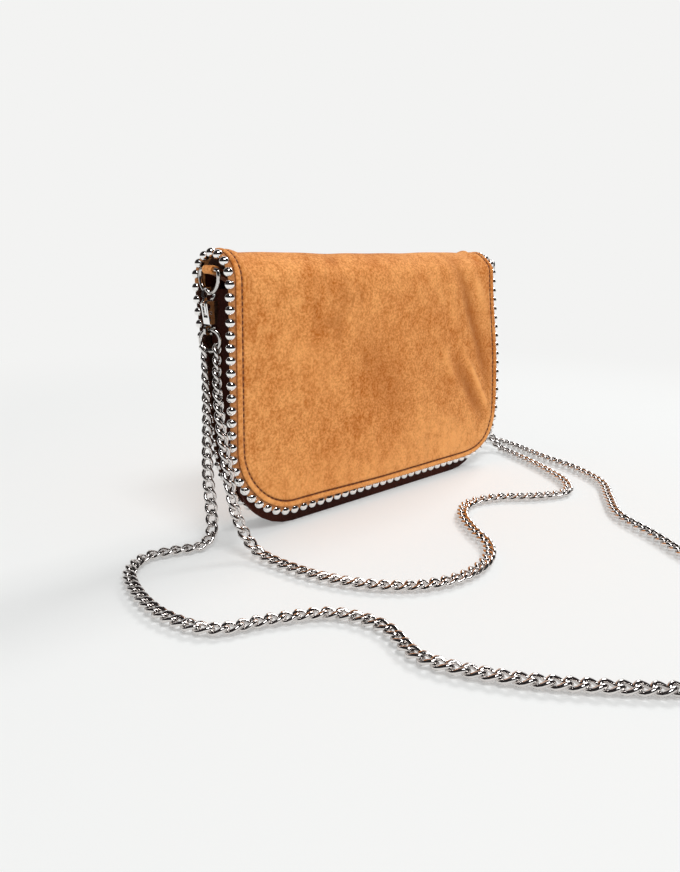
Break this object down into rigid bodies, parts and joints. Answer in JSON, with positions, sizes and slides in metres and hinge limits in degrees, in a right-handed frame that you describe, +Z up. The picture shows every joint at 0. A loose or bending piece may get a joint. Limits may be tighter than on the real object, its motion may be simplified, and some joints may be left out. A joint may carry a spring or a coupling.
{
  "type": "chain strap flap bag",
  "caption": "Small suede shoulder bag with a fold-over flap, a ball chain along its edges, and a double chain strap that clips to a ring at each end.",
  "frame": {"origin": "on the surface that the bag stands on, under the middle of the bag without its strap", "axes": "+Z up, +X towards the bag's right end as seen from the front, -Y out of the flap's face"},
  "size_m": [0.306, 0.3205, 0.1386],
  "materials": {
    "suede": "napped suede",
    "suede_tape": "napped suede",
    "dark_leather": "smooth, low sheen",
    "lining": "fine woven cloth",
    "polished_steel": "polished"
  },
  "bodies": {
    "bag": {"back_panel": "suede", "back_trim_tape": "suede_tape", "back_bead_trim": "polished_steel", "front_panel": "dark_leather", "gusset_left": "dark_leather", "gusset_right": "dark_leather", "base_panel": "dark_leather", "lining_pouch": "lining", "card_pocket": "dark_leather", "magnet_socket": "polished_steel", "socket_washer": "polished_steel", "chain_short": "polished_steel", "chain_long": "polished_steel", "strap_tab_left": "suede", "d_ring_left": "polished_steel", "swivel_eye_left": "polished_steel", "strap_ring_left": "polished_steel", "strap_tab_right": "suede", "d_ring_right": "polished_steel", "swivel_eye_right": "polished_steel", "strap_ring_right": "polished_steel"},
    "flap": {"flap_panel": "suede", "flap_lining": "lining", "flap_trim_tape": "suede_tape", "flap_bead_trim": "polished_steel", "magnet_stud": "polished_steel", "stud_washer": "polished_steel"},
    "hook_left": {"hook_body_left": "polished_steel", "hook_pin_left": "polished_steel", "hook_spring_left": "polished_steel"},
    "lever_left": {"hook_lever_left": "polished_steel"},
    "hook_right": {"hook_body_right": "polished_steel", "hook_pin_right": "polished_steel", "hook_spring_right": "polished_steel"},
    "lever_right": {"hook_lever_right": "polished_steel"}
  },
  "joints": [
    {"name": "flap_hinge", "type": "hinge", "parent": "bag", "child": "flap", "pos_m": [0, 0.0168, 0.1216], "axis": [-1, 0, 0], "range_deg": [0, 175]},
    {"name": "hook_swivel_left", "type": "hinge", "parent": "bag", "child": "hook_left", "pos_m": [-0.1045, -0.001, 0.104], "axis": [0, 0, 1], "range_deg": [-20, 20]},
    {"name": "lever_pivot_left", "type": "hinge", "parent": "hook_left", "child": "lever_left", "pos_m": [-0.1058, -0.001, 0.1075], "axis": [0, 1, 0], "range_deg": [0, 22], "stiffness_Nm_per_rad": 0.01, "springref_deg": -17.19},
    {"name": "hook_swivel_right", "type": "hinge", "parent": "bag", "child": "hook_right", "pos_m": [0.1045, -0.001, 0.104], "axis": [0, 0, 1], "range_deg": [-20, 20]},
    {"name": "lever_pivot_right", "type": "hinge", "parent": "hook_right", "child": "lever_right", "pos_m": [0.1058, -0.001, 0.1075], "axis": [0, -1, 0], "range_deg": [0, 22], "stiffness_Nm_per_rad": 0.01, "springref_deg": -17.19}
  ]
}
